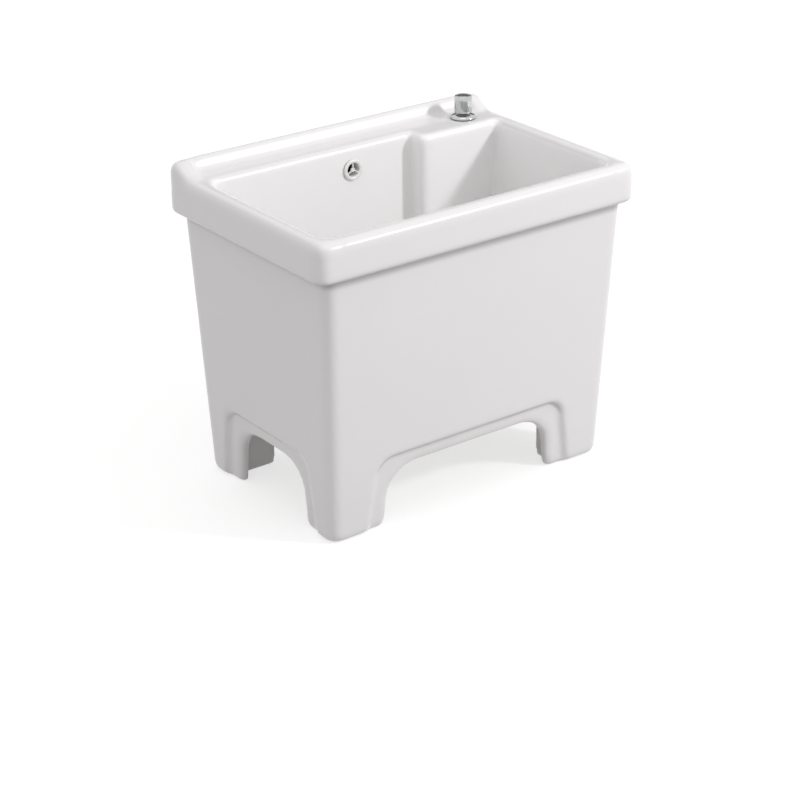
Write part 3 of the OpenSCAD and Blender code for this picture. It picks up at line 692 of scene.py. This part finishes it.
bmesh.ops.rotate(
    grille, verts=grille.verts, cent=(0, 0, 0), matrix=Matrix.Rotation(math.radians(90), 3, "X")
)
bmesh.ops.translate(grille, verts=grille.verts, vec=overflow_centre)
overflow_cover = softened(finished(grille, "overflow_grille"), cover_edge)
dressed(overflow_cover, "overflow_cover", gloss_plastic)

# Stopper cap: a low dome of brass, turned, polished and chrome plated. It is fixed on the pin
# of the stopper's stem, which the linkage lifts and lets down.
cap_height = 0.1243
cap_edge = 0.0002
stopper_cap = turned("stopper_cap_polished", [
    (0, 0), (21.2, 0), (21.9, 0.4), (22, 0.9), (21.8, 1.7), (20.5, 2.5), (17.5, 3.25), (13, 3.9),
    (8, 4.3), (4, 4.45), (0, 4.5),
], waste_axis + Vector((0, 0, cap_height)), hollow=False)
dressed(softened(stopper_cap, cap_edge), "stopper_cap", chrome, "stopper")

# Waste flange: a chrome plated brass ring in the floor of the basin. Its threaded tail runs
# down through the ceramic, with four slots where the overflow duct meets it.
node_merge_gap = 0.000005
flat_angle = math.radians(0.5)
round_angle = 32


def tidied(node, name, width):
    """A copy of a node with its triangles merged, its round faces smooth and its edges broken."""
    work = bmesh.new()
    work.from_mesh(nodes[node].data)
    bmesh.ops.remove_doubles(work, verts=work.verts, dist=node_merge_gap)
    bmesh.ops.dissolve_limit(
        work, angle_limit=flat_angle, verts=work.verts, edges=work.edges,
        use_dissolve_boundaries=False,
    )
    return softened(finished(work, name), width, round_angle)


def fitted(material, slot, *pieces):
    """Dresses nodes. Each is given by node, name, width of its broken edges, and body."""
    for node, name, width, body in pieces:
        dressed(tidied(node, name, width), node, material, body)


fitted(chrome, "chrome", ("drain_flange", "waste_flange_plated", 0.0003, "sink"))

# Stopper below its cap: a white moulded stem with four fins that guide it in the waste,
# and a black rubber ring that shuts the bore.
rubber = finish_of(
    "black_rubber", light=(0.035, 0.035, 0.037), dark=(0.018, 0.018, 0.020), marks_scale=240,
    low=0.62, high=0.82, relief=0.00003,
)
fitted(gloss_plastic, "white_plastic", ("stopper_stem", "stopper_stem_moulded", 0.0002, "stopper"))
fitted(rubber, "rubber", ("stopper_seal", "stopper_ring", 0.0004, "stopper"))

# Rubber rings: they sit under the waste flange, under the boss, under the control flange, under
# the deck, and one grips the outlet tube.
for node in ("flange_gasket", "deck_washer", "drain_gasket", "drain_lower_gasket", "tailpiece_seal"):
    fitted(rubber, "rubber", (node, node + "_rubber", 0.0003, "sink"))

# Overflow seal: a pale soft ring between the cover and the glaze. It is moulded, and the
# cover's collar keeps it in its place.
pale_rubber = finish_of(
    "pale_rubber", light=(0.72, 0.72, 0.71), dark=(0.66, 0.66, 0.65), marks_scale=240,
    low=0.55, high=0.75, relief=0.00002,
)
fitted(pale_rubber, "rubber", ("overflow_seal", "overflow_seal_soft", 0.0002, "sink"))

# Brass nuts and thumbscrew: cut from bar on a lathe, with bright faces and fine turning lines.
# The nuts clamp the control and the waste from below, and the screw joins strap and lift rod.
brass = finish_of(
    "turned_brass", light=(0.78, 0.60, 0.30), dark=(0.62, 0.45, 0.20), marks_scale=90,
    low=0.18, high=0.34, metal=1.0, stretch=(1, 1, 9), relief=0.00001,
)
fitted(
    brass, "brass",
    ("deck_locknut", "deck_nut_turned", 0.0004, "sink"),
    ("drain_locknut", "waste_nut_turned", 0.0005, "sink"),
    ("clevis_thumbscrew", "thumbscrew_turned", 0.0003, "lift"),
)

# Linkage: a drawn steel lift rod, a pressed steel strap with a row of holes, a bent spring clip
# and the pivot rod, all of satin steel with a drawn grain. The knob's grub screw is blacked.
steel = finish_of(
    "drawn_steel", light=(0.68, 0.69, 0.70), dark=(0.50, 0.51, 0.53), marks_scale=70,
    low=0.20, high=0.36, metal=1.0, stretch=(8, 8, 1), relief=0.00001,
)
black_steel = finish_of(
    "black_oxide", light=(0.075, 0.075, 0.082), dark=(0.04, 0.04, 0.045), marks_scale=200,
    low=0.35, high=0.55, metal=0.6,
)
fitted(
    steel, "steel",
    ("lift_rod", "lift_rod_drawn", 0.0005, "lift"),
    ("clevis_strap", "strap_pressed", 0.0002, "lift"),
    ("spring_clip", "clip_bent", 0.0001, "lift"),
    ("pivot_rod", "pivot_rod_drawn", 0.0005, "pivot"),
)
fitted(black_steel, "dark_steel", ("knob_grub_screw", "grub_screw_blacked", 0.0001, "lift"))

# White moulded pieces: the bush that guides the lift rod in the shank, the ball on the pivot
# rod with its seat, and the slip washer between the waste's nut and its gasket.
fitted(
    gloss_plastic, "white_plastic",
    ("guide_bush", "bush_moulded", 0.0002, "sink"),
    ("pivot_ball", "ball_moulded", 0.0002, "pivot"),
    ("ball_seat", "seat_moulded", 0.0002, "sink"),
    ("friction_washer", "slip_washer_moulded", 0.0002, "sink"),
)

# Lower waste: a moulded grey tee with its two nuts, which screw on it by hand, and a thin
# chrome plated tube for the outlet.
grey_plastic = finish_of(
    "grey_moulding", light=(0.60, 0.61, 0.62), dark=(0.52, 0.53, 0.54), marks_scale=210,
    low=0.38, high=0.52, relief=0.00002,
)
fitted(
    grey_plastic, "grey_plastic",
    ("drain_tee", "tee_moulded", 0.0006, "sink"),
    ("ball_nut", "ball_nut_moulded", 0.0006, "sink"),
    ("slip_nut", "slip_nut_moulded", 0.0006, "sink"),
)
fitted(chrome, "chrome", ("tailpiece", "outlet_tube_plated", 0.0002, "sink"))
